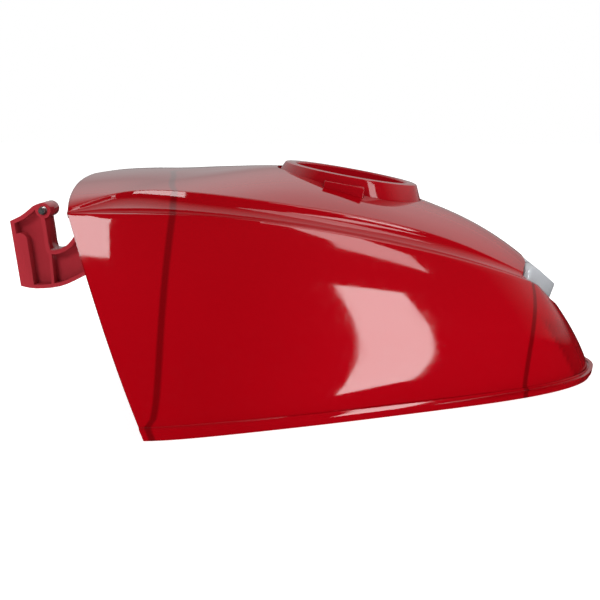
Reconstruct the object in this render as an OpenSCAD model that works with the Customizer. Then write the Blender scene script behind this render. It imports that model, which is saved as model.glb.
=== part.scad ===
// Translucent lid of a canister vacuum cleaner: moulded shell, hose collar, gooseneck hinge arm
// and a sprung front latch. +X points to the nose, +Z up; the lid rests on its rim at z = 0.

/* [Shell] */
// Half width of the rim at the open rear end
rim_half_w = 126; // [115:1:135]
// Distance from the collar-side datum to the nose tip
nose_x = 188; // [180:1:195]
// Height of the deck along the middle at the rear edge
deck_h = 118; // [112:0.5:122]
// Height of the shoulder ledge at the rear corner
ledge_h = 107; // [102:1:110]
// Wall thickness
wall = 2.5; // [2:0.1:3]
// Height of the bead along the rim
bead_h = 7; // [5:1:9]
// How far the bead stands out of the wall
bead_out = 1.2; // [0.8:0.1:2]
// Outward bulge of the side wall
side_bulge = 7; // [3:0.5:9]

/* [Hose collar] */
// Centre of the collar along the lid
collar_x = 41; // [38:1:44]
// Height of the centre of the top ring
collar_z = 119; // [118:0.5:121]
// Nose-down tilt of the collar in degrees
collar_tilt = 10; // [8:0.5:12]
// Outer radius of the top ring
collar_r = 39; // [38:0.5:41]
// Radius of the hose inlet
inlet_r = 32.5; // [30:0.5:33]

/* [Hinge arm] */
// Width of the arm across the lid
arm_w = 16; // [12:1:20]
// Thickness of the arm's walls and web
arm_wall = 2.4; // [2:0.1:3]
// Diameter of the hinge pin
pin_d = 5; // [4:0.5:5]
// Length of the hinge pin with its two journals
pin_len = 21; // [20:0.5:26]

/* [Latch] */
// Downward slope of the tongue in degrees
latch_slope = 40; // [38:1:42]
// Half width of the tongue at its pivot
latch_half_w = 36; // [32:1:36]
// Radius of the tongue's round pivot end
latch_barrel_r = 6; // [5.5:0.5:6.5]
// Diameter of the latch pin
latch_pin_d = 3; // [2.5:0.5:3]

/* [Hidden] */
$fn = 64;

// Cross-sections of one half, rear edge to nose: rim [x, y], ledge, tongue edge, centre line [x, z].
sections = [
    [[-57, -rim_half_w],   [-92, -113, ledge_h],       [-92, -112, ledge_h + 0.6],   [-111, deck_h]],
    [[-48, -125],          [-83, -113.5, ledge_h],     [-83, -105, ledge_h + 4],     [-84, deck_h + 1.2]],
    [[-33, -121],          [-66, -113, ledge_h],       [-71, -87, ledge_h + 9],      [-44, deck_h + 1.4]],
    [[-8, -112.5],         [-32, -107, ledge_h - 0.8], [-38, -97, ledge_h + 9.5],    [-20, deck_h + 3.8]],
    [[32, -98],            [14, -92, 99.8],            [12, -83, 108.2],             [12, deck_h + 5.5]],
    [[76, -80],            [62, -76, 89],              [62, -66, 98.5],              [60, 111]],
    [[122, -61],           [104, -61, 76.8],           [104, -52, 84],               [104, 96]],
    [[157, -42],           [134, -48, 66],             [134, -39.5, 68],             [132, 79.5]],
    [[179, -22],           [149, -31, 57.5],           [147, -25, 62],               [148, 66.5]],
    [[nose_x + 1.5, 0],    [158, 0, 51],               [155, 0, 59.5],               [155, 59.5]]
];
n_sec = len(sections) - 1;
steps_rear = 8;
steps_mid = 17;
steps_nose = 7;
steps_wall = 7;
steps_cove = 4;
steps_deck = 8;

// Frame: the middle of the whole length lies over x = 0.
arm_back_x = -161.8;
nose_reach = nose_x - 0.8;
x_mid = (nose_reach + arm_back_x) / 2;

hinge_x = -141.4;
hinge_z = 96.3;
eye_r = 4.6;
arm_flange_z = 100;
arm_flange_t = 3;
arm_screws_at = [[-103, -17], [-103, 17], [-82, -17], [-82, 17]];
screw_r = 1.9;
screw_head_r = 3.6;

latch_top = [141.4, 71.4];
latch_dir = [cos(latch_slope), -sin(latch_slope)];
latch_normal = [sin(latch_slope), cos(latch_slope)];
latch_axis = latch_top + latch_barrel_r * latch_dir - latch_barrel_r * latch_normal;
latch_tip_x = 162.5;
latch_gap = 0.9;
latch_lift = 18;
cheek_y = 14;
cheek_t = 3.5;

collar_foot_r = 43;
collar_foot_drop = 9;
collar_depth = 20;
collar_wall = 2.5;
collar_screw_at = (inlet_r + collar_foot_r) / 2;
collar_screw_count = 4;
collar_screw_r = 1.2;
collar_boss_w = 6;
pocket_x = [-14, 8];
pocket_out = 47;
pocket_top = -4;
pocket_wall = 1.8;
seal_t = 2.5;
seal_lip_r = 31.2;
retainer_t = 3;
fit_gap = 0.05;

rib_depth = 8;
rib_t = 2;
rib_focus_z = 30;
rear_rib = [0.45, 2.65, 2.75, 1.5, 0.55];
front_rib = [6.45, 7.5, 7.5, 7, 1.75];
boss_r = 4;
boss_roof = 2.5;

run_steps = 3;
pad_leg_w = 9;
arm_flange_x = [-109, -76];
arm_flange_w = 46;
screw_head_h = 2;
journal_len = 2.5;
journal_r = 2;

tongue_plan_x = 123.2;
tongue_plan_r = latch_tip_x - tongue_plan_x;
recess_z = 42.4;
under_a = latch_axis - latch_barrel_r * latch_normal;
under_b = [158, 44];
under_slope = atan2(under_a.y - under_b.y, under_b.x - under_a.x);
pad_t = 3;
pad_w = 22;
lever_w = 7;
hook_w = 16;
hook_screw_x = 152.6;
hook_screw_y = 7.5;
hook_screw_r = 1.2;
spring_w = 6;
wire_r = 0.5;
coil_r = 2.8;
coil_turns = 6;
housing_x = [113, 125];
housing_boss_top = [87.6, 79.8];
housing_plate_x = [107, 130];
housing_screw_y = 8;
housing_z = 73;
housing_t = 3;

// ---- Curves -------------------------------------------------------------------------------------

function mirror_y(p) = len(p) == 3 ? [p.x, -p.y, p.z] : p;
function end_before(a, b) = 2 * a - b;

// One feature line of the lid as a list of 3-D points, one for each cross-section.
function feature(k) = [for (s = sections)
    k == 0 ? [s[0].x, s[0].y, 0] : k == 3 ? [s[3].x, 0, s[3].y] : s[k]];
function extended(p) = concat([end_before(p[0], p[1])], p, [mirror_y(p[len(p) - 2])]);
rim_line = extended(feature(0));
ledge_line = extended(feature(1));
tongue_line = extended(feature(2));
centre_line = extended(feature(3));

// Smooth cubic curve guided by the points of an extended line, t from 0 to n_sec.
function spline(p, t) =
    let (i = min(floor(t), n_sec - 1), u = t - i)
    ((1 - u) ^ 3 * p[i] + (3 * u ^ 3 - 6 * u ^ 2 + 4) * p[i + 1]
        + (-3 * u ^ 3 + 3 * u ^ 2 + 3 * u + 1) * p[i + 2] + u ^ 3 * p[i + 3]) / 6;

function unit(v) = v / max(norm(v), 1e-6);
function smooth(u) = let (c = max(0, min(1, u))) c * c * (3 - 2 * c);
function mix(a, b, u) = a + (b - a) * u;

// ---- Shell surface ------------------------------------------------------------------------------

// Side wall between rim and ledge, v from 0 to 1, bulging outward.
function wall_point(t, v) =
    let (a = spline(rim_line, t), b = spline(ledge_line, t),
        along = unit(spline(rim_line, min(t + 0.05, n_sec)) - spline(rim_line, max(t - 0.05, 0))),
        out = [along.y, -along.x, 0],
        bulge = mix(side_bulge, side_bulge / 2, smooth((t - n_sec + 3) / 3)))
    mix(a, b, v) + out * bulge * 4 * v * (1 - v) * mix(1.15, 0.85, v);

// Concave wall from the ledge up to the tongue edge: a flat shelf, then a steep rise.
function cove_point(t, v) =
    let (a = spline(ledge_line, t), b = spline(tongue_line, t))
    [mix(a.x, b.x, sin(90 * v)), mix(a.y, b.y, sin(90 * v)), mix(a.z, b.z, 1 - cos(90 * v))];

// Crowned deck from the tongue edge to the centre line.
function deck_point(t, v) =
    let (a = spline(tongue_line, t), b = spline(centre_line, t), w = 1 - v,
        front = smooth(t / 3),
        rise = mix(sqrt(1 - w ^ 3), 1 - w ^ 2, front))
    [mix(b.x, a.x, w ^ 1.3), a.y * w, mix(a.z, b.z, rise)];

n_half = 2 + steps_wall + steps_cove + steps_deck;
bead_z = [0, bead_h - 0.8];

// Point j of half a cross-section: bead, wall, cove and deck in turn.
function half_point(t, j) =
    j < 2 ? let (w = wall_point(t, bead_z[j] / ledge_h), f = wall_point(t, 0),
            along = unit(wall_point(min(t + 0.05, n_sec), 0) - wall_point(max(t - 0.05, 0), 0)))
        [w.x, w.y, bead_z[j]] + [along.y, -along.x, 0] * bead_out * (1 - smooth((t - n_sec + 1.2) / 0.9))
    : j <= 2 + steps_wall ? wall_point(t, mix(bead_h / ledge_h, 1, (j - 2) / steps_wall))
    : j <= 2 + steps_wall + steps_cove ? cove_point(t, (j - 2 - steps_wall) / steps_cove)
    : deck_point(t, (j - 2 - steps_wall - steps_cove) / steps_deck);

// Whole cross-section, near rim over the deck to the far rim.
n_ring = 2 * n_half;
function ring_point(t, j) = j <= n_half ? half_point(t, j) : mirror_y(half_point(t, n_ring - j));

function outer_normal(t, j) =
    let (t0 = max(t - 0.04, 0), t1 = min(t + 0.04, n_sec - 0.001),
        around = ring_point(t, min(j + 1, n_ring)) - ring_point(t, max(j - 1, 0)),
        along = ring_point(t1, j) - ring_point(t0, j))
    unit(cross(along, around));

// Outward direction in the middle plane at the nose, where both halves meet.
function nose_normal(j) =
    let (k = min(j, n_ring - j),
        d = ring_point(n_sec, min(k + 1, n_half)) - ring_point(n_sec, max(k - 1, 0)))
    unit([d.z, 0, -d.x]);

// ---- Ribs ---------------------------------------------------------------------------------------

// Where a rib crosses point j of the cross-section, from its t at rim, ledge, tongue edge and centre
// and the exponent of its curve up the side wall.
function rib_station(way, j) =
    let (k = min(j, n_ring - j), a = (k - 2) / steps_wall, b = (k - 2 - steps_wall) / steps_cove,
        c = (k - 2 - steps_wall - steps_cove) / steps_deck)
    k < 2 ? way[0]
    : a <= 1 ? mix(way[0], way[1], a ^ way[4])
    : b <= 1 ? mix(way[1], way[2], b)
    : mix(way[3], way[2], (1 - c) ^ 1.3);

// Half a rib's thickness as a step of t.
function rib_half(t, j) = rib_t * 0.05 / norm(ring_point(t + 0.05, j) - ring_point(t - 0.05, j));

// Each rib takes four rows of the skin: two at its rear face and two at its front face.
rear_row = steps_rear;
front_row = rear_row + 3 + steps_mid;
last_row = front_row + 3 + steps_nose;

// The rear rib crosses the whole lid, the front rib only the two side walls.
function ribbed(i, j) =
    let (k = min(j, n_ring - j))
    i == rear_row + 1 || i == rear_row + 2 ? k > 0
    : (i == front_row + 1 || i == front_row + 2) && k > 0 && k <= 1 + steps_wall;

// Rows lean with the ribs, so that every rib lies along its rows.
function row_t(i, j) =
    let (r = rib_station(rear_rib, j), f = rib_station(front_rib, j),
        dr = rib_half(r, j), df = rib_half(f, j))
    i <= rear_row + 1 ? (r - dr) * min(i / rear_row, 1)
    : i <= front_row + 1 ? mix(r + dr, f - df, max(0, min(1, (i - rear_row - 3) / steps_mid)))
    : mix(f + df, n_sec, max(0, (i - front_row - 3) / steps_nose));

// ---- Shell skin ---------------------------------------------------------------------------------

// Skin point moved inward by the depth d, further on the ribs; the rim stays at z = 0.
function skin_point(i, j, d) =
    let (t = min(row_t(i, j), n_sec - 0.001), p = ring_point(t, j),
        n = i == last_row ? nose_normal(j) : outer_normal(t, j))
    d > 0 && ribbed(i, j) ? p + unit([0, -p.y, rib_focus_z - p.z]) * (d + rib_depth)
    : j == 0 || j == n_ring ? p - unit([n.x, n.y, 0]) * d
    : p - n * d;

module lid_skin() {
    cols = n_ring + 1;
    pts = concat(
        [for (i = [0 : last_row]) for (j = [0 : n_ring]) skin_point(i, j, 0)],
        [for (i = [0 : last_row]) for (j = [0 : n_ring]) skin_point(i, j, wall)]);
    // Away from the ribs their two inner rows fall on the outer ones.
    function row(i, j, k) =
        k == 1 && ribbed(i, j) ? i
        : i == rear_row + 1 || i == front_row + 1 ? i - 1
        : i == rear_row + 2 || i == front_row + 2 ? i + 1 : i;
    // At the nose both halves of the last row share their points.
    function id(i, j, k) =
        (k * (last_row + 1) + row(i, j, k)) * cols + (i == last_row && j > n_half ? n_ring - j : j);
    function quad(a, b, c, d) = [for (f = [[a, b, c], [a, c, d]])
        if (f[0] != f[1] && f[1] != f[2] && f[2] != f[0]) f];
    faces = concat(
        [for (i = [0 : last_row - 1]) for (j = [0 : n_ring - 1])
            each quad(id(i, j, 0), id(i, j + 1, 0), id(i + 1, j + 1, 0), id(i + 1, j, 0))],
        [for (i = [0 : last_row - 1]) for (j = [0 : n_ring - 1])
            each quad(id(i, j, 1), id(i + 1, j, 1), id(i + 1, j + 1, 1), id(i, j + 1, 1))],
        [for (j = [0 : n_ring - 1])
            each quad(id(0, j, 0), id(0, j, 1), id(0, j + 1, 1), id(0, j + 1, 0))],
        [for (i = [0 : last_row - 1])
            each quad(id(i, 0, 0), id(i + 1, 0, 0), id(i + 1, 0, 1), id(i, 0, 1))],
        [for (i = [0 : last_row - 1])
            each quad(id(i, n_ring, 0), id(i, n_ring, 1), id(i + 1, n_ring, 1), id(i + 1, n_ring, 0))]);
    polyhedron(points = pts, faces = faces, convexity = 8);
}

module in_frame() {
    translate([-x_mid, 0, 0]) children();
}

module at_collar() {
    in_frame() translate([collar_x, 0, collar_z]) rotate([0, collar_tilt, 0]) children();
}

// Cylinder along Y, centred on y = 0, at [x, z].
module across(at, r, length) {
    translate([at.x, 0, at.y]) rotate([90, 0, 0]) cylinder(h = length, r = r, center = true);
}

// Profile drawn in x-z and extruded across the lid, centred on y = 0.
module across_profile(length) {
    rotate([90, 0, 0]) linear_extrude(height = length, center = true) children();
}

// ---- Shell --------------------------------------------------------------------------------------

module boss(at, z0, z1, hole_r) {
    translate([at.x, at.y, z0]) difference() {
        cylinder(h = z1 - z0, r = boss_r);
        translate([0, 0, -1]) cylinder(h = z1 - z0 - boss_roof + 1, r = hole_r);
    }
}

module collar_hole() {
    translate([0, 0, -collar_depth])
        cylinder(h = 2 * collar_depth, r = collar_foot_r + 2 * fit_gap, $fn = 96);
    translate([pocket_x[0] - 3 * fit_gap, -pocket_out - 3 * fit_gap, -collar_depth])
        cube([pocket_x[1] - pocket_x[0] + 6 * fit_gap, 2 * pocket_out + 6 * fit_gap, 2 * collar_depth]);
}

// Plan of the tongue: the front of a circle, grown by a gap.
module tongue_plan(gap) {
    translate([tongue_plan_x, 0, 30]) cylinder(h = 60, r = tongue_plan_r + gap, $fn = 96);
}

module latch_recess() {
    intersection() {
        tongue_plan(latch_gap);
        union() {
            across(latch_axis, latch_barrel_r + latch_gap, 2 * latch_half_w + 4);
            across_profile(2 * latch_half_w + 4) polygon([latch_axis, latch_axis + [1.1, 14], [175, 76],
                [175, recess_z], [161, recess_z], [157, recess_z + 0.5], latch_axis + [-4.5, -6.3]]);
        }
    }
}

module lid_shell() {
    color("crimson") difference() {
        in_frame() union() {
            lid_skin();
            for (p = arm_screws_at) boss(p, arm_flange_z + arm_flange_t, deck_h - 0.8, screw_r + fit_gap);
            for (i = [0, 1]) for (y = [-housing_screw_y, housing_screw_y])
                boss([housing_x[i], y], housing_z, housing_boss_top[i], screw_r + fit_gap);
        }
        at_collar() collar_hole();
        in_frame() latch_recess();
    }
}

// ---- Hose collar and its seal -------------------------------------------------------------------

module collar_screw_ring() {
    for (i = [0 : collar_screw_count - 1])
        rotate([0, 0, 45 + i * 360 / collar_screw_count]) translate([collar_screw_at, 0, 0]) children();
}

module pocket() {
    difference() {
        translate([pocket_x[0], collar_r - 3, -collar_depth])
            cube([pocket_x[1] - pocket_x[0], pocket_out - collar_r + 3, collar_depth + pocket_top]);
        translate([pocket_x[0] + pocket_wall, collar_r - 4, -collar_depth - 1])
            cube([pocket_x[1] - pocket_x[0] - 2 * pocket_wall, pocket_out - collar_r + 4 - pocket_wall,
                collar_depth + pocket_top + 1 - pocket_wall]);
    }
}

module hose_collar() {
    color("firebrick") at_collar() difference() {
        union() {
            rotate_extrude($fn = 96) polygon([[inlet_r, 0], [collar_r, 0],
                [collar_foot_r, -collar_foot_drop], [collar_foot_r, -collar_depth],
                [collar_foot_r - collar_wall, -collar_depth],
                [collar_foot_r - collar_wall, -collar_foot_drop - 0.6],
                [collar_r - 1.8, -collar_wall], [inlet_r + collar_wall, -collar_wall],
                [inlet_r + collar_wall, -collar_depth], [inlet_r, -collar_depth]]);
            for (side = [0, 1]) mirror([0, side, 0]) pocket();
            // Blocks between the two walls, for the retainer screws
            collar_screw_ring() translate([inlet_r + 1 - collar_screw_at, -collar_boss_w / 2, -collar_depth])
                cube([collar_foot_r - inlet_r - 2, collar_boss_w, collar_depth - 8]);
        }
        collar_screw_ring() translate([0, 0, -collar_depth - 1])
            cylinder(h = collar_depth - 9, r = collar_screw_r + fit_gap);
    }
}

module inlet_seal() {
    color("black") at_collar() translate([0, 0, -collar_depth - fit_gap - seal_t]) difference() {
        rotate_extrude($fn = 96) polygon([[seal_lip_r, 0], [collar_foot_r, 0], [collar_foot_r, seal_t],
            [inlet_r + 1, seal_t], [seal_lip_r, 0.8]]);
        collar_screw_ring() translate([0, 0, -1]) cylinder(h = seal_t + 2, r = collar_screw_r + 2 * fit_gap);
    }
}

module seal_retainer() {
    color("dimgray") at_collar() translate([0, 0, -collar_depth - 2 * fit_gap - seal_t - retainer_t])
        difference() {
            cylinder(h = retainer_t, r = collar_foot_r, $fn = 96);
            translate([0, 0, -1]) cylinder(h = retainer_t + 2, r = inlet_r + 1.5, $fn = 96);
            collar_screw_ring() translate([0, 0, -1])
                cylinder(h = retainer_t + 2, r = collar_screw_r + 3 * fit_gap);
        }
}

module retainer_screws() {
    top = -collar_depth - 3 * fit_gap - seal_t - retainer_t;
    color("silver") at_collar() collar_screw_ring() {
        translate([0, 0, top - 1.6]) cylinder(h = 1.6, r = 2.4);
        translate([0, 0, top - 0.1]) cylinder(h = retainer_t + seal_t + 8, r = collar_screw_r);
    }
}

// ---- Hinge arm ----------------------------------------------------------------------------------

// Point of a smooth line through the points p, u of the way from point i to the next.
function run_point(p, i, u) =
    let (a = p[max(i - 1, 0)], b = p[i], c = p[i + 1], d = p[min(i + 2, len(p) - 1)])
    (2 * b + (c - a) * u + (2 * a - 5 * b + 4 * c - d) * u ^ 2 + (3 * b - a - 3 * c + d) * u ^ 3) / 2;
function smooth_run(p) =
    [for (i = [0 : len(p) - 2]) for (k = [0 : run_steps - 1]) run_point(p, i, k / run_steps)];

// Gooseneck seen from the side: top to the eye, inner side to the flange, outer side back.
module arm_profile() {
    polygon(concat(
        smooth_run([[arm_back_x, 90], [-155.4, 93], [-151, 96], [-147.2, 99], [-143, 100.8]]),
        [[hinge_x, hinge_z], [-140.6, 91.8], [-139.7, 83.5], [-139.2, 76.3]],
        smooth_run([[-138.4, 72.8], [-135.6, 72.5], [-131.2, 74], [-126.8, 77], [-121, 84.5],
            [-116.8, 92.5], [-115, arm_flange_z]]),
        [[-115, arm_flange_z]],
        smooth_run([[-94, arm_flange_z], [-95.5, 86], [-100, 73.5], [-108, 63.5], [-121.3, 55.8],
            [-133.8, 50.5], [-148.7, 49], [-157.9, 50.5]]),
        [[-157.9, 50.5]]));
}

// Pocket left between the edge walls, beside the flat pad of the lower leg and one stiffening rib.
module arm_pocket() {
    difference() {
        offset(delta = -arm_wall) arm_profile();
        translate([-158.5, 48]) rotate(5) {
            square([pad_leg_w, 30]);
            translate([pad_leg_w / 2, 30]) circle(r = pad_leg_w / 2);
        }
        translate([-137, 48]) rotate(92) square([28, arm_wall * 0.7]);
    }
}

module hinge_arm() {
    bore_r = pin_d / 2 + 0.03;
    pocket_d = (arm_w - arm_wall) / 2;
    color("firebrick") in_frame() difference() {
        union() {
            difference() {
                across_profile(arm_w) arm_profile();
                for (side = [-1, 1]) translate([0, side * (arm_w - pocket_d + 1) / 2, 0])
                    across_profile(pocket_d + 1) arm_pocket();
            }
            across([hinge_x, hinge_z], eye_r, arm_w);
            translate([arm_flange_x[0], -arm_flange_w / 2, arm_flange_z])
                cube([arm_flange_x[1] - arm_flange_x[0], arm_flange_w, arm_flange_t]);
        }
        across([hinge_x, hinge_z], bore_r, arm_w + 2);
        for (p = arm_screws_at) translate([p.x, p.y, arm_flange_z - 1])
            cylinder(h = arm_flange_t + 2, r = screw_r + 0.3);
    }
}

module pan_screw(length) {
    translate([0, 0, -screw_head_h]) cylinder(h = screw_head_h, r = screw_head_r);
    translate([0, 0, -0.1]) cylinder(h = length + 0.1, r = screw_r);
}

module arm_screws() {
    color("silver") in_frame()
        for (p = arm_screws_at) translate([p.x, p.y, arm_flange_z - fit_gap]) pan_screw(arm_flange_t + 7);
}

module hinge_pin() {
    color("silver") in_frame() {
        across([hinge_x, hinge_z], pin_d / 2, pin_len - 2 * journal_len);
        for (side = [-1, 1]) translate([0, side * (pin_len - journal_len) / 2, 0])
            across([hinge_x, hinge_z], journal_r, journal_len);
    }
}

// ---- Latch --------------------------------------------------------------------------------------

// Space inside the tongue's round end for a cheek or the spring, centred on y.
module barrel_slot(y, width) {
    translate([0, y, 0]) {
        across(latch_axis, 4.1, width);
        translate([latch_axis.x, 0, latch_axis.y]) rotate([0, 15, 0])
            translate([-5, 0, 0]) cube([10, width, 20], center = true);
    }
}

// Turned nose-down about the latch pin, to find what would leave the recess when the latch lifts.
module lowered(angle) {
    translate([latch_axis.x, 0, latch_axis.y]) rotate([0, angle, 0])
        translate([-latch_axis.x, 0, -latch_axis.y]) children();
}

module latch_tongue() {
    color("gainsboro") in_frame() difference() {
        intersection() {
            tongue_plan(0);
            lowered(latch_lift) tongue_plan(latch_gap - 0.4);
            union() {
                across(latch_axis, latch_barrel_r, 2 * latch_half_w);
                across_profile(2 * latch_half_w) polygon([latch_axis,
                    latch_axis + latch_barrel_r * latch_normal, [155.8, 59.3], [158.3, 57.2],
                    [160, 54], [160.6, 50.5], [160.2, 45], under_b, under_a]);
            }
        }
        for (side = [-1, 1]) barrel_slot(side * cheek_y, cheek_t + 1);
        barrel_slot(0, spring_w + 1.4);
        translate([latch_axis.x + 2, -spring_w / 2 - 0.7, recess_z - 2.4])
            cube([3, spring_w + 1.4, latch_axis.y - recess_z + 2.4]);
        across(latch_axis, latch_pin_d / 2 + 0.04, 2 * latch_half_w - 14);
        at_hook_screws() translate([0, 0, -1]) cylinder(h = 5, r = hook_screw_r + fit_gap);
    }
}

// Point of the tongue's underside at x.
function under(x) = [x, under_a.y - (x - under_a.x) * tan(under_slope)];
function below(p, d) = p - d * [sin(under_slope), cos(under_slope)];

module at_hook_screws() {
    p = under(hook_screw_x);
    for (side = [-1, 1]) translate([p.x, side * hook_screw_y, p.y]) rotate([0, under_slope, 0]) children();
}

module latch_hook() {
    color("dimgray") in_frame() difference() {
        union() {
            across_profile(pad_w) polygon([below(under(146), fit_gap), below(under(156.5), fit_gap),
                below(under(156.5), pad_t), below(under(149), pad_t)]);
            across_profile(lever_w) polygon([below(under(146), fit_gap), below(under(152), fit_gap),
                [150, 45], [150, 14], [146, 14]]);
            across_profile(hook_w) polygon([[150, 18], [150, 15], [146.5, 10], [138.5, 14.5], [138.5, 18]]);
        }
        at_hook_screws() translate([0, 0, -pad_t - 1])
            cylinder(h = pad_t + 2, r = hook_screw_r + 2 * fit_gap);
    }
}

module hook_screws() {
    color("silver") in_frame() at_hook_screws() {
        translate([0, 0, -pad_t - fit_gap - 1.4]) cylinder(h = 1.4, r = 2.2);
        translate([0, 0, -pad_t - fit_gap - 0.1]) cylinder(h = pad_t + 3.5, r = hook_screw_r);
    }
}

module latch_pin() {
    color("silver") in_frame() across(latch_axis, latch_pin_d / 2, 2 * cheek_y + cheek_t);
}

// Torsion spring: close turns round the latch pin with one leg back and one leg down.
module latch_spring() {
    pitch = spring_w / coil_turns;
    color("lightgray") in_frame() {
        translate([latch_axis.x, 0, latch_axis.y]) rotate([90, 0, 0]) union() {
            for (i = [0 : coil_turns - 1])
                translate([0, 0, (i - (coil_turns - 1) / 2) * pitch])
                    rotate_extrude($fn = 48) translate([coil_r, 0]) circle(r = wire_r + 0.05, $fn = 24);
            translate([0, coil_r, (coil_turns - 1) / 2 * pitch]) rotate([0, -90, 0])
                cylinder(h = 15, r = wire_r, $fn = 24);
            translate([coil_r, 0, -(coil_turns - 1) / 2 * pitch]) rotate([90, 0, 0])
                cylinder(h = 14, r = wire_r, $fn = 24);
        }
    }
}

module latch_housing() {
    color("dimgray") in_frame() difference() {
        union() {
            translate([housing_plate_x[0], -cheek_y - cheek_t / 2, housing_z - housing_t])
                cube([housing_plate_x[1] - housing_plate_x[0], 2 * cheek_y + cheek_t, housing_t]);
            for (side = [-1, 1]) translate([0, side * cheek_y, 0]) {
                across_profile(cheek_t) polygon([[118, housing_z], [housing_plate_x[1], housing_z],
                    latch_axis + [-1.9, 3], latch_axis + [1, -3.4], latch_axis + [-3, -2.9],
                    [122, housing_z - housing_t], [118, housing_z - housing_t]]);
                across(latch_axis, 3.6, cheek_t);
            }
        }
        across(latch_axis, latch_pin_d / 2 + 0.02, 3 * cheek_y);
        for (x = housing_x) for (side = [-1, 1])
            translate([x, side * housing_screw_y, housing_z - housing_t - 1])
                cylinder(h = housing_t + 2, r = screw_r + 0.3);
    }
}

module housing_screws() {
    color("silver") in_frame() for (x = housing_x) for (side = [-1, 1])
        translate([x, side * housing_screw_y, housing_z - housing_t - fit_gap])
            pan_screw(housing_t + (x == housing_x[0] ? 9 : 2.8));
}

lid_shell();
hose_collar();
inlet_seal();
seal_retainer();
retainer_screws();
hinge_arm();
arm_screws();
hinge_pin();
latch_tongue();
latch_hook();
hook_screws();
latch_pin();
latch_spring();
latch_housing();
housing_screws();
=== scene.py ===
import math
import bpy
import numpy as np
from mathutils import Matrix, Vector


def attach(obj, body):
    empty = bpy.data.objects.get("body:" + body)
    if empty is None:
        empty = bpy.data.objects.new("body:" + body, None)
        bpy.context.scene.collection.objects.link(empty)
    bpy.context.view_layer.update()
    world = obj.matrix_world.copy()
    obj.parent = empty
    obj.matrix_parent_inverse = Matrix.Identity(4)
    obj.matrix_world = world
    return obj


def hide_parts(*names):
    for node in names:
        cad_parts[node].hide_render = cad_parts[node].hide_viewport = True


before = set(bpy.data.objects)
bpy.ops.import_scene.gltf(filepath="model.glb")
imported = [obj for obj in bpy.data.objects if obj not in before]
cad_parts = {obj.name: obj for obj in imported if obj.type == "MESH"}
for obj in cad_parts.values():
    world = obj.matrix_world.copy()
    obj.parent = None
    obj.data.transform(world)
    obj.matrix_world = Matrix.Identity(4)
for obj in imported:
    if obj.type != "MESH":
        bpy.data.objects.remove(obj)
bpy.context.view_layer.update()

scene = bpy.context.scene

# ---- Lid shell ----------------------------------------------------------------------------------
# The real piece is one injection moulding in translucent red plastic, 2.5 mm thick, with a bead round
# the rim, a shoulder shelf on each side, one rib right across at the rear and two short ones in front.

shell_shift = -0.0127
wall_t = 0.0025
rim_line = [(-57, -126, 0), (-48, -125, 0), (-33, -121, 0), (-8, -112.5, 0), (32, -98, 0),
            (76, -80, 0), (122, -61, 0), (157, -42, 0), (179, -22, 0), (189.5, 0, 0)]
ledge_line = [(-92, -113, 107), (-83, -113.5, 107), (-66, -113, 107), (-32, -107, 106.2),
              (14, -92, 99.8), (62, -76, 89), (104, -61, 76.8), (134, -48, 66), (149, -31, 57.5),
              (158, 0, 51)]
shoulder_line = [(-92, -112, 107.6), (-83, -105, 111), (-71, -87, 116), (-38, -97, 116.5),
                 (12, -83, 108.2), (62, -66, 98.5), (104, -52, 84), (134, -39.5, 68),
                 (147, -25, 62), (155, 0, 59.5)]
crest_line = [(-111, 0, 118), (-84, 0, 119.2), (-44, 0, 119.4), (-20, 0, 121.8), (12, 0, 123.5),
              (60, 0, 111), (104, 0, 96), (132, 0, 79.5), (148, 0, 66.5), (155, 0, 59.5)]
line_spans = len(rim_line) - 1
ledge_height = 107.0
bead_height = 7.0
side_bulge, nose_bulge = 7.0, 3.5


def guided(line):
    """Guide points of a feature line in mm, with one more point beyond each end."""
    p = np.array(line, float)
    mirrored = p[-2] * np.array([1, -1, 1])
    return np.vstack([2 * p[0] - p[1], p, mirrored])


rim_guide, ledge_guide, shoulder_guide, crest_guide = map(
    guided, (rim_line, ledge_line, shoulder_line, crest_line))


def along_line(guide, t):
    """Smooth point of a feature line; t runs from 0 at the open rear end to line_spans at the nose."""
    i = np.minimum(np.floor(t).astype(int), line_spans - 1)
    u = (t - i)[..., None]
    return ((1 - u) ** 3 * guide[i] + (3 * u ** 3 - 6 * u ** 2 + 4) * guide[i + 1]
            + (-3 * u ** 3 + 3 * u ** 2 + 3 * u + 1) * guide[i + 2] + u ** 3 * guide[i + 3]) / 6


def ease(u):
    c = np.clip(u, 0, 1)
    return c * c * (3 - 2 * c)


def side_wall(t, v):
    foot, top = along_line(rim_guide, t), along_line(ledge_guide, t)
    ahead, behind = np.minimum(t + 0.05, line_spans), np.maximum(t - 0.05, 0)
    run = along_line(rim_guide, ahead) - along_line(rim_guide, behind)
    run = run / np.linalg.norm(run, axis=-1, keepdims=True)
    out = np.stack([run[..., 1], -run[..., 0], 0 * run[..., 0]], -1)
    bulge = side_bulge + (nose_bulge - side_bulge) * ease((t - line_spans + 3) / 3)
    push = bulge * 4 * v * (1 - v) * (1.15 - 0.3 * v)
    return foot + (top - foot) * v[..., None] + out * push[..., None], out


def shelf(t, v):
    foot, top = along_line(ledge_guide, t), along_line(shoulder_guide, t)
    s, c = np.sin(v * math.pi / 2), 1 - np.cos(v * math.pi / 2)
    return foot + (top - foot) * np.stack([s, s, c], -1)


def deck(t, v):
    foot, top = along_line(shoulder_guide, t), along_line(crest_guide, t)
    w = 1 - v
    front = ease(t / 3)
    rise = (1 - front) * np.sqrt(1 - w ** 3) + front * (1 - w ** 2)
    x = top[..., 0] + (foot[..., 0] - top[..., 0]) * w ** 1.3
    return np.stack([x, foot[..., 1] * w, foot[..., 2] + (top[..., 2] - foot[..., 2]) * rise], -1)


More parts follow.
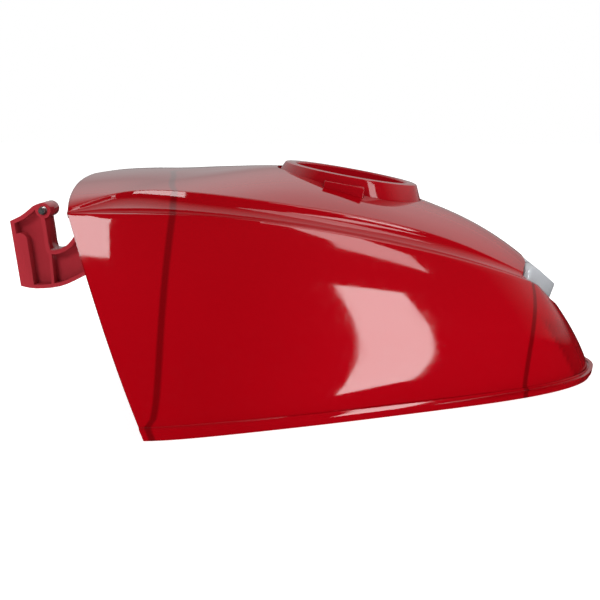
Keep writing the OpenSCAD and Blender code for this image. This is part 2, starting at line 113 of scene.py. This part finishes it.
# Stations of half a cross-section: bead, side wall, rounded ledge edge, shelf, rounded shoulder, deck.
bead_profile = [(0.0, 0.8), (0.5, 1.2), (bead_height - 1.3, 1.2), (bead_height - 0.5, 0.7)]
wall_v0, wall_v1 = bead_height / ledge_height, 0.988
shelf_v0, shelf_v1 = 0.06, 0.94
deck_v0 = 0.008
stations = [("bead", z, out) for z, out in bead_profile]
stations += [("wall", wall_v0 + (wall_v1 - wall_v0) * i / 24, 0) for i in range(25)]
stations += [("ledge", 0, 0)]
stations += [("shelf", shelf_v0 + (shelf_v1 - shelf_v0) * i / 12, 0) for i in range(13)]
stations += [("shoulder", 0, 0)]
stations += [("deck", deck_v0 + (1 - deck_v0) * (i / 26) ** 1.5, 0) for i in range(27)]
half_count = len(stations)
edge_pull = 0.45


def cross_section(kind, a, b, t):
    """Points of one station for every t of an array; a is its height or share, b the bead's overhang."""
    v = np.full_like(t, a)
    if kind == "bead":
        p, out = side_wall(t, np.full_like(t, a / ledge_height))
        p = p + out * (b * (1 - ease((t - line_spans + 1.2) / 0.9)))[..., None]
        p[..., 2] = a
        return p
    if kind == "wall":
        return side_wall(t, v)[0]
    if kind == "shelf":
        return shelf(t, v)
    if kind == "deck":
        return deck(t, v)
    if kind == "ledge":
        low, high = side_wall(t, v + wall_v1)[0], shelf(t, v + shelf_v0)
        edge = along_line(ledge_guide, t)
    else:
        low, high = shelf(t, v + shelf_v1), deck(t, v + deck_v0)
        edge = along_line(shoulder_guide, t)
    return edge + ((low + high) / 2 - edge) * edge_pull


def rib_path(way, kind, a):
    """Where a rib crosses a station; way holds its t at the four lines and its curve up the wall."""
    if kind == "bead":
        return way[0]
    if kind == "wall":
        return way[0] + (way[1] - way[0]) * max((a - wall_v0) / (1 - wall_v0), 0) ** way[4]
    if kind == "ledge":
        return way[1]
    if kind == "shelf":
        return way[1] + (way[2] - way[1]) * a
    if kind == "shoulder":
        return way[2]
    return way[3] + (way[2] - way[3]) * (1 - a) ** 1.3


rear_rib, front_rib = (0.45, 2.65, 2.75, 1.5, 0.55), (6.45, 7.5, 7.5, 7.0, 1.75)
rib_t, rib_depth, rib_focus = 2.0, 8.0, 30.0
rows_rear, rows_mid, rows_nose = 26, 58, 24
columns, column_ts = [], []
for kind, a, b in stations:
    places = []
    for way in (rear_rib, front_rib):
        t = rib_path(way, kind, a)
        two = cross_section(kind, a, b, np.array([t - 0.05, t + 0.05]))
        places.append((t, rib_t * 0.05 / np.linalg.norm(two[1] - two[0])))
    (r, dr), (f, df) = places
    ts = np.concatenate([np.linspace(0, r - 2.2 * dr, rows_rear), [r - dr, r + dr],
                         np.linspace(r + 2.2 * dr, f - 2.2 * df, rows_mid), [f - df, f + df],
                         np.linspace(f + 2.2 * df, line_spans, rows_nose)])
    columns.append(cross_section(kind, a, b, ts))
    column_ts.append(ts)
half = np.stack(columns, 1)
half_t = np.stack(column_ts, 1)
row_count = half.shape[0]
rear_rows = (rows_rear, rows_rear + 1)
front_rows = (rows_rear + 2 + rows_mid, rows_rear + 3 + rows_mid)

# Outward normals from the neighbouring points; at the nose both halves meet in the middle plane.
run = np.gradient(half, axis=0)
girth = np.gradient(half, axis=1)
normal = np.cross(run, girth)
nose = np.stack([girth[-1][:, 2], 0 * girth[-1][:, 2], -girth[-1][:, 0]], -1)
normal[-1] = nose
normal[:, -1, 1] = 0
normal = normal / np.maximum(np.linalg.norm(normal, axis=-1, keepdims=True), 1e-9)
inner = half - normal * wall_t * 1000
level = normal[:, 0] * [1, 1, 0]
inner[:, 0] = half[:, 0] - level / np.linalg.norm(level, axis=-1, keepdims=True) * wall_t * 1000
towards = np.stack([0 * half[..., 0], -half[..., 1], rib_focus - half[..., 2]], -1)
deep = half + towards / np.linalg.norm(towards, axis=-1, keepdims=True) * (wall_t * 1000 + rib_depth)

# The third list holds each vertex's painted shade: how much darker its red is painted.
shell_points, shell_faces, thick = [], [], []
index = {}


def over_rib(i, j):
    """The rear rib runs right across; the front ones stop at the top of the side wall."""
    return i in rear_rows or (i in front_rows and stations[j][0] in ("bead", "wall"))


def painted_shade_at(i, j):
    """Painted shade of a vertex: how much darker its red is over the ribs, along the open rear edge and
    in a band at the nose, where less light comes through the thin wall.
    """
    kind, v, _ = stations[j]
    # Painted shade: darker over the ribs and along the open rear edge.
    if over_rib(i, j):
        return 0.9
    if i == 0:
        return 0.8
    # A band of painted shade runs along the nose on the lower side wall.
    if kind not in ("bead", "wall"):
        return 0.0
    v = 0.0 if kind == "bead" else v
    edge = half_t[i, j] - (7.7 - 0.93 * v)
    band = 0.42 * ease(edge / 0.12) + 0.3 * max(0.0, 1 - abs(edge - 0.1) / 0.1)
    return float(band * (1 - ease((v - 0.6) / 0.12)))


def shell_vertex(layer, i, j, far):
    """Index of a vertex, made when first asked for; far is the +Y half."""
    if j == half_count - 1 or i == row_count - 1:
        far = False
    key = (layer, i, j, far)
    if key not in index:
        p = {"out": half, "in": inner, "rib": deep}[layer][i, j]
        y = 0.0 if i == row_count - 1 or j == half_count - 1 else (-p[1] if far else p[1])
        index[key] = len(shell_points)
        shell_points.append((p[0] / 1000 + shell_shift, y / 1000, p[2] / 1000))
        thick.append(painted_shade_at(i, j))
    return index[key]


def shell_face(corners, far):
    ids = [shell_vertex(layer, i, j, far) for layer, i, j in corners]
    ids = [v for k, v in enumerate(ids) if v != ids[k - 1]]
    if len(set(ids)) >= 3:
        shell_faces.append(ids[::-1] if far else ids)


# Rows of the inner side, with two more at each rib for its faces.
inner_rows = []
for i in range(row_count):
    if i in (rear_rows[0], front_rows[0]):
        inner_rows += [("in", i), ("rib", i)]
    elif i in (rear_rows[1], front_rows[1]):
        inner_rows += [("rib", i), ("in", i)]
    else:
        inner_rows += [("in", i)]


def inner_corner(layer, i, j):
    return ("rib" if layer == "rib" and j > 0 and over_rib(i, j) else "in", i, j)


for far in (False, True):
    for i in range(row_count - 1):
        for j in range(half_count - 1):
            shell_face([("out", i, j), ("out", i, j + 1), ("out", i + 1, j + 1), ("out", i + 1, j)], far)
    for (la, ia), (lb, ib) in zip(inner_rows, inner_rows[1:]):
        for j in range(half_count - 1):
            shell_face([inner_corner(la, ia, j), inner_corner(lb, ib, j),
                        inner_corner(lb, ib, j + 1), inner_corner(la, ia, j + 1)], far)
    for i in range(row_count - 1):
        shell_face([("out", i, 0), ("out", i + 1, 0), ("in", i + 1, 0), ("in", i, 0)], far)
    for j in range(half_count - 1):
        shell_face([("out", 0, j), ("in", 0, j), ("in", 0, j + 1), ("out", 0, j + 1)], far)

shell_mesh = bpy.data.meshes.new("lid_shell_skin")
shell_mesh.from_pydata(shell_points, [], shell_faces)
shell_mesh.validate()
# Painted shade for each vertex, which the red material reads to darken the shell.
field = shell_mesh.attributes.new("thickness", "FLOAT", "POINT")
field.data.foreach_set("value", thick)
shell = bpy.data.objects.new("lid_shell_skin", shell_mesh)
scene.collection.objects.link(shell)


def pick(*objects):
    """Selects these objects alone, the first one active."""
    bpy.ops.object.select_all(action="DESELECT")
    for o in objects:
        o.select_set(True)
    bpy.context.view_layer.objects.active = objects[0]


def settle(o):
    """Puts an object's place into its mesh."""
    pick(o)
    bpy.ops.object.transform_apply(location=True, rotation=True, scale=True)


def cut(o, tool, operation="DIFFERENCE"):
    """Boolean of o with a tool, which is used up."""
    pick(o)
    m = o.modifiers.new("cut", "BOOLEAN")
    m.operation = operation
    m.object = tool
    m.solver = "EXACT"
    bpy.ops.object.modifier_apply(modifier=m.name)
    bpy.data.objects.remove(tool)


def smooth(o, degrees=35):
    pick(o)
    bpy.ops.object.shade_smooth_by_angle(angle=math.radians(degrees))


def outline(name, points):
    """Object of one closed polygon in mm, in the X-Z plane."""
    mesh = bpy.data.meshes.new(name)
    edges = [(i, (i + 1) % len(points)) for i in range(len(points))]
    mesh.from_pydata([(x / 1000, 0, z / 1000) for x, z in points], edges, [])
    o = bpy.data.objects.new(name, mesh)
    scene.collection.objects.link(o)
    return o


def prism(name, points, width):
    """Closed profile in mm in the X-Z plane, drawn out across the lid."""
    o = outline(name, points)
    pick(o)
    bpy.ops.object.mode_set(mode="EDIT")
    bpy.ops.mesh.select_all(action="SELECT")
    bpy.ops.mesh.edge_face_add()
    bpy.ops.mesh.extrude_region_move(TRANSFORM_OT_translate={"value": (0, width / 1000, 0)})
    bpy.ops.mesh.select_all(action="SELECT")
    bpy.ops.mesh.normals_make_consistent(inside=False)
    bpy.ops.transform.translate(value=(0, -width / 2000, 0))
    bpy.ops.object.mode_set(mode="OBJECT")
    return o


# Round hole for the hose collar, with a notch each side for its catch pockets.
collar_at = Vector((0.041 + shell_shift, 0, 0.119))
collar_tilt = math.radians(10)
bpy.ops.object.select_all(action="DESELECT")
bpy.ops.mesh.primitive_cylinder_add(vertices=128, radius=0.0431, depth=0.04, location=collar_at,
                                    rotation=(0, collar_tilt, 0))
hole = bpy.context.object
settle(hole)
cut(shell, hole)
bpy.ops.mesh.primitive_cube_add(size=1, location=(0, 0, 0))
notch = bpy.context.object
notch.scale = (0.0223, 0.0943, 0.04)
notch.location = collar_at + Vector((-0.003 * math.cos(collar_tilt), 0, 0.003 * math.sin(collar_tilt)))
notch.rotation_euler = (0, collar_tilt, 0)
settle(notch)
cut(shell, notch)

# Recess at the nose for the latch tongue, round in plan.
latch_x, latch_z, barrel_r, recess_z, recess_width = 142.14, 62.95, 6.9, 42.4, 76
barrel = [(latch_x + barrel_r * math.cos(a), latch_z + barrel_r * math.sin(a))
          for a in [math.radians(100 + 9 * i) for i in range(14)]]
recess_nose = [(latch_x - 4.5, latch_z - 6.3), (157, recess_z + 0.5), (161, recess_z), (175, recess_z),
               (175, 76)]
recess = prism("recess", [(latch_x + 1.1, latch_z + 14)] + barrel + recess_nose, recess_width)
bpy.ops.object.select_all(action="DESELECT")
bpy.ops.mesh.primitive_cylinder_add(vertices=160, radius=0.0402, depth=0.06,
                                    location=(0.1232, 0, 0.06))
round_plan = bpy.context.object
settle(round_plan)
cut(recess, round_plan, "INTERSECT")
recess.location = (shell_shift, 0, 0)
settle(recess)
cut(shell, recess)
smooth(shell, 40)
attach(shell, "lid")
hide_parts("lid_shell")


def red_plastic(name, deep=(0.205, 0.0003, 0.0018), thin=(0.37, 0.001, 0.006)):
    """Glossy red moulding: faint flow clouds, fine scuffs, and painted shade, a darker red wherever the
    mesh's shade attribute is set.
    """
    # Painted shade colour: the red that the shell is darkened towards.
    shade_red = (0.13, 0.0006, 0.002)
    mat = bpy.data.materials.new(name)
    mat.use_nodes = True
    nodes, links = mat.node_tree.nodes, mat.node_tree.links
    shader = nodes["Principled BSDF"]
    coords = nodes.new("ShaderNodeTexCoord")
    clouds = nodes.new("ShaderNodeTexNoise")
    clouds.inputs["Scale"].default_value = 7
    clouds.inputs["Detail"].default_value = 1.5
    flow = nodes.new("ShaderNodeMix")
    flow.data_type = "RGBA"
    flow.inputs["A"].default_value = (*deep, 1)
    flow.inputs["B"].default_value = (*thin, 1)
    # Painted shade: the per-vertex shade attribute mixes the colour toward the dark red.
    thickness = nodes.new("ShaderNodeAttribute")
    thickness.attribute_name = "thickness"
    shade_mix = nodes.new("ShaderNodeMix")
    shade_mix.data_type = "RGBA"
    shade_mix.inputs["B"].default_value = (*shade_red, 1)
    links.new(coords.outputs["Object"], clouds.inputs["Vector"])
    links.new(clouds.outputs["Fac"], flow.inputs["Factor"])
    links.new(flow.outputs["Result"], shade_mix.inputs["A"])
    links.new(thickness.outputs["Fac"], shade_mix.inputs["Factor"])
    links.new(shade_mix.outputs["Result"], shader.inputs["Base Color"])
    scuffs = nodes.new("ShaderNodeTexNoise")
    scuffs.inputs["Scale"].default_value = 260
    scuffs.inputs["Detail"].default_value = 6
    gloss = nodes.new("ShaderNodeMapRange")
    gloss.inputs["From Min"].default_value = 0.35
    gloss.inputs["From Max"].default_value = 0.75
    gloss.inputs["To Min"].default_value = 0.03
    gloss.inputs["To Max"].default_value = 0.08
    links.new(coords.outputs["Object"], scuffs.inputs["Vector"])
    links.new(scuffs.outputs["Fac"], gloss.inputs["Value"])
    links.new(gloss.outputs["Result"], shader.inputs["Roughness"])
    ripple = nodes.new("ShaderNodeTexNoise")
    ripple.inputs["Scale"].default_value = 45
    bump = nodes.new("ShaderNodeBump")
    bump.inputs["Strength"].default_value = 0.05
    bump.inputs["Distance"].default_value = 0.0004
    links.new(coords.outputs["Object"], ripple.inputs["Vector"])
    links.new(ripple.outputs["Fac"], bump.inputs["Height"])
    links.new(bump.outputs["Normal"], shader.inputs["Normal"])
    shader.inputs["IOR"].default_value = 1.36
    return mat


shell.data.materials.clear()
shell.data.materials.append(red_plastic("lid_red"))

# ---- Hose collar --------------------------------------------------------------------------------
# The real piece is a separate red moulding welded into the round hole of the deck: a flat top ring,
# a sloped skirt, the inlet tube inside it and a catch pocket on each side.

collar_profile = [(32.5, -20), (32.5, -0.8), (33.3, 0), (38.0, 0), (38.8, -0.25), (39.2, -0.9),
                  (42.7, -8.4), (43, -9.2), (43, -20), (40.5, -20), (40.5, -9.8), (37.0, -2.5),
                  (35, -2.5), (35, -20)]


def collar_place(o):
    """Tilts a piece modelled round the collar's own axis and puts it in place."""
    o.rotation_euler = (0, collar_tilt, 0)
    o.location = collar_at
    settle(o)


def spun(name, points, steps=128):
    """Turned ring: a closed profile in mm spun round Z."""
    o = outline(name, points)
    pick(o)
    bpy.ops.object.mode_set(mode="EDIT")
    bpy.ops.mesh.select_all(action="SELECT")
    bpy.ops.mesh.spin(steps=steps, angle=2 * math.pi, center=(0, 0, 0), axis=(0, 0, 1))
    bpy.ops.mesh.select_all(action="SELECT")
    bpy.ops.mesh.remove_doubles(threshold=1e-6)
    bpy.ops.mesh.normals_make_consistent(inside=False)
    bpy.ops.object.mode_set(mode="OBJECT")
    return o


def block(name, low, high, bevel=0.0):
    """Box between two corners in mm, with its edges rounded."""
    bpy.ops.object.select_all(action="DESELECT")
    bpy.ops.mesh.primitive_cube_add(size=1)
    o = bpy.context.object
    o.name = name
    o.scale = [(b - a) / 1000 for a, b in zip(low, high)]
    o.location = [(a + b) / 2000 for a, b in zip(low, high)]
    settle(o)
    if bevel:
        bpy.ops.object.mode_set(mode="EDIT")
        bpy.ops.mesh.select_all(action="SELECT")
        bpy.ops.mesh.bevel(offset=bevel / 1000, segments=3)
        bpy.ops.object.mode_set(mode="OBJECT")
    return o


collar = spun("hose_collar_ring", collar_profile)
for side in (-1, 1):
    low, high = sorted((side * 36, side * 47))
    pocket = block("pocket", (-14, low, -20), (8, high, -4), 0.6)
    low, high = sorted((side * 35, side * 45.4))
    cut(pocket, block("pocket_hollow", (-12.2, low, -21), (6.2, high, -5.8)))
    cut(collar, pocket, "UNION")
collar_place(collar)
smooth(collar, 32)
collar.data.materials.clear()
collar.data.materials.append(
    red_plastic("collar_red", deep=(0.25, 0.0015, 0.004), thin=(0.33, 0.0025, 0.008)))
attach(collar, "lid")
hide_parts("hose_collar")

# ---- Hinge arm ----------------------------------------------------------------------------------
# The real piece is a red gooseneck moulding with a web and edge walls; its eye takes the hinge pin.

def rounded_copy(node, name, width, segments=2, degrees=25):
    """Copy of a CAD node with its sharp edges rounded as a mould leaves them."""
    o = bpy.data.objects.new(name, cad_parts[node].data.copy())
    scene.collection.objects.link(o)
    o.data.materials.clear()
    pick(o)
    bpy.ops.object.mode_set(mode="EDIT")
    bpy.ops.mesh.select_all(action="SELECT")
    bpy.ops.mesh.remove_doubles(threshold=2e-6)
    bpy.ops.mesh.dissolve_limited(angle_limit=math.radians(1))
    bpy.ops.object.mode_set(mode="OBJECT")
    m = o.modifiers.new("round", "BEVEL")
    m.width = width / 1000
    m.segments = segments
    m.limit_method = "ANGLE"
    m.angle_limit = math.radians(degrees)
    bpy.ops.object.modifier_apply(modifier=m.name)
    smooth(o, 35)
    return o


arm = rounded_copy("hinge_arm", "hinge_arm_moulding", 0.35)
arm.data.materials.append(red_plastic("arm_red", deep=(0.27, 0.008, 0.016), thin=(0.52, 0.06, 0.075)))
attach(arm, "lid")
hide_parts("hinge_arm")

# ---- Latch tongue -------------------------------------------------------------------------------
# The real piece is a finger latch, silver painted plastic, rounded at its tip.

tongue = rounded_copy("latch_tongue", "latch_tongue_moulding", 0.5, 3)


def paint(name, colour, rough, metallic=0.0, scale=420.0, grain=0.12, spread=0.12):
    """Painted, plated or moulded finish: small colour drift, varied roughness and a fine grain."""
    mat = bpy.data.materials.new(name)
    mat.use_nodes = True
    nodes, links = mat.node_tree.nodes, mat.node_tree.links
    shader = nodes["Principled BSDF"]
    coords = nodes.new("ShaderNodeTexCoord")
    drift = nodes.new("ShaderNodeTexNoise")
    drift.inputs["Scale"].default_value = 30
    drift.inputs["Detail"].default_value = 5
    tint = nodes.new("ShaderNodeMix")
    tint.data_type = "RGBA"
    tint.inputs["A"].default_value = (*[c * (1 - spread) for c in colour], 1)
    tint.inputs["B"].default_value = (*[min(c * (1 + spread), 1) for c in colour], 1)
    links.new(coords.outputs["Object"], drift.inputs["Vector"])
    links.new(drift.outputs["Fac"], tint.inputs["Factor"])
    links.new(tint.outputs["Result"], shader.inputs["Base Color"])
    fine = nodes.new("ShaderNodeTexNoise")
    fine.inputs["Scale"].default_value = scale
    fine.inputs["Detail"].default_value = 4
    links.new(coords.outputs["Object"], fine.inputs["Vector"])
    gloss = nodes.new("ShaderNodeMapRange")
    gloss.inputs["To Min"].default_value = rough * 0.75
    gloss.inputs["To Max"].default_value = rough * 1.3
    links.new(fine.outputs["Fac"], gloss.inputs["Value"])
    links.new(gloss.outputs["Result"], shader.inputs["Roughness"])
    bump = nodes.new("ShaderNodeBump")
    bump.inputs["Strength"].default_value = grain
    bump.inputs["Distance"].default_value = 0.0002
    links.new(fine.outputs["Fac"], bump.inputs["Height"])
    links.new(bump.outputs["Normal"], shader.inputs["Normal"])
    shader.inputs["Metallic"].default_value = metallic
    return mat


tongue.data.materials.append(paint("latch_silver", (0.50, 0.52, 0.55), 0.32, 0.35))
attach(tongue, "latch")
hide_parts("latch_tongue")

# ---- Small parts --------------------------------------------------------------------------------
# Zinc-plated screws, pins and spring; black housing, hook and clamping ring; rubber seal.

steel = paint("zinc_steel", (0.56, 0.56, 0.55), 0.28, 1.0, 900)
black = paint("black_moulding", (0.035, 0.035, 0.038), 0.45)
rubber = paint("seal_rubber", (0.02, 0.02, 0.02), 0.7, 0.0, 600, 0.3)
small_parts = {
    steel: ("retainer_screws", "arm_screws", "hook_screws", "housing_screws", "hinge_pin", "latch_pin",
            "latch_spring"),
    black: ("latch_housing", "latch_hook", "seal_retainer"),
    rubber: ("inlet_seal",),
}
for finish, names in small_parts.items():
    for n in names:
        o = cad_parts[n]
        o.data.materials.clear()
        o.data.materials.append(finish)

# ---- Studio -------------------------------------------------------------------------------------
# Pale floor and backdrop, white light from behind and above, three softboxes in front and one above.

camera_data = bpy.data.cameras.new("camera")
camera_data.lens = 51.0
camera = bpy.data.objects.new("camera", camera_data)
scene.collection.objects.link(camera)
aim = Vector((-0.0017, 0, 0.042))
turn, lift, away = math.radians(3), math.radians(12.3), 0.516
camera.location = aim + away * Vector((math.sin(turn) * math.cos(lift), -math.cos(turn) * math.cos(lift),
                                       math.sin(lift)))
camera.rotation_euler = (aim - camera.location).to_track_quat("-Z", "Y").to_euler()
camera_data.clip_start = 0.01
scene.camera = camera

bpy.ops.object.select_all(action="DESELECT")
bpy.ops.mesh.primitive_plane_add(size=8, location=(0, 0, -0.0002))
floor = bpy.context.object
floor.name = "floor"
floor_mat = bpy.data.materials.new("floor_white")
floor_mat.use_nodes = True
floor_shader = floor_mat.node_tree.nodes["Principled BSDF"]
floor_shader.inputs["Base Color"].default_value = (0.9, 0.9, 0.9, 1)
floor_shader.inputs["Roughness"].default_value = 0.9
floor_shader.inputs["Emission Color"].default_value = (1, 1, 1, 1)
floor_shader.inputs["Emission Strength"].default_value = 0.6
floor.visible_glossy = False
floor.data.materials.append(floor_mat)

world = bpy.data.worlds.new("studio")
scene.world = world
world.use_nodes = True
sky, sky_links = world.node_tree.nodes, world.node_tree.links
room = sky["Background"]
direction = sky.new("ShaderNodeTexCoord")
split = sky.new("ShaderNodeSeparateXYZ")
sky_links.new(direction.outputs["Generated"], split.inputs["Vector"])


def ramp(output, low, high, bottom, top):
    """Even change from bottom to top as the output runs from low to high."""
    node = sky.new("ShaderNodeMapRange")
    for socket, value in (("From Min", low), ("From Max", high), ("To Min", bottom), ("To Max", top)):
        node.inputs[socket].default_value = value
    sky_links.new(output, node.inputs["Value"])
    return node.outputs["Result"]


def joined(operation, a, b):
    node = sky.new("ShaderNodeMath")
    node.operation = operation
    sky_links.new(a, node.inputs[0])
    sky_links.new(b, node.inputs[1])
    return node.outputs["Value"]


# The wall behind is bright, more so higher up; the room in front and below is dark.
high = ramp(split.outputs["Z"], 0.15, 0.5, 0.42, 1.1)
above = ramp(split.outputs["Z"], -0.05, 0.02, 0.03, 1.0)
behind = ramp(split.outputs["Y"], -0.3, 0.2, 0.05, 1.0)
seen = joined("MULTIPLY", joined("MULTIPLY", high, above), behind)
eye = sky.new("ShaderNodeLightPath")
sky_links.new(joined("MAXIMUM", seen, eye.outputs["Is Camera Ray"]), room.inputs["Strength"])
room.inputs["Color"].default_value = (1, 1, 1, 1)


def softbox(name, centre, width, height, radiance, look=(0, 0, 0.05)):
    """Rectangular softbox facing the object."""
    data = bpy.data.lights.new(name, "AREA")
    data.shape = "RECTANGLE"
    data.size, data.size_y = width, height
    data.energy = radiance * math.pi * width * height
    o = bpy.data.objects.new(name, data)
    scene.collection.objects.link(o)
    o.location = centre
    o.rotation_euler = (Vector(look) - Vector(centre)).to_track_quat("-Z", "Y").to_euler()
    return o


softbox("tall_box", (1.50, -1.5, -0.2), 0.40, 1.6, 16, look=(1.50, 0, -0.2))
softbox("upper_box", (1.85, -1.5, 1.6), 0.7, 1.05, 9, look=(1.85, 0, 1.6))
softbox("left_box", (-0.58, -1.5, 0.95), 0.55, 0.65, 16, look=(-0.58, 0, 0.95))
softbox("top_box", (0.8, -0.35, 1.3), 0.8, 0.5, 4)
scene.view_settings.view_transform = "Standard"
